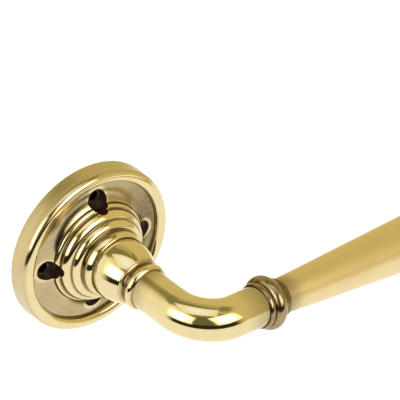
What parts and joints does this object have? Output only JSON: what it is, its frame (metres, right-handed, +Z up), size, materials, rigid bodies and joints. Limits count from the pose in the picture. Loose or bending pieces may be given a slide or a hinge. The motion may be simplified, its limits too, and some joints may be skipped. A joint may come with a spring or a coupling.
{
  "type": "door lever handle",
  "caption": "Turned brass door lever on a round screw-fixed rose with a stepped dome, a bent tubular arm, a beaded collar, a tapered round grip and a square spindle socket.",
  "frame": {"origin": "centre of the rose's back face, where the spindle axis meets the face of the door", "axes": "+Z up, the handle stands out from the door along -Y, +X along the lever towards its tip at rest"},
  "size_m": [0.142, 0.0679, 0.06],
  "materials": {
    "polished_brass": "polished brass, lightly aged, brown patina in the recesses",
    "satin_brass": "satin brass, burnished along its length",
    "bush_nylon": "natural nylon",
    "spring_steel": "phosphated spring steel",
    "bright_steel": "bright zinc-plated steel",
    "screw_steel": "blackened steel"
  },
  "bodies": {
    "rose_body": {"rose": "polished_brass", "rose_bush": "bush_nylon"},
    "lever_body": {"neck": "polished_brass", "grub_screw": "screw_steel", "flat_washer": "bright_steel", "wave_washer": "spring_steel", "circlip": "spring_steel", "arm": "polished_brass", "collar": "polished_brass", "grip_stud": "bright_steel", "grip": "satin_brass"}
  },
  "joints": [
    {"name": "lever_turn", "type": "hinge", "parent": "rose_body", "child": "lever_body", "pos_m": [0, 0, 0], "axis": [0, 1, 0], "range_deg": [-50, 50]}
  ]
}
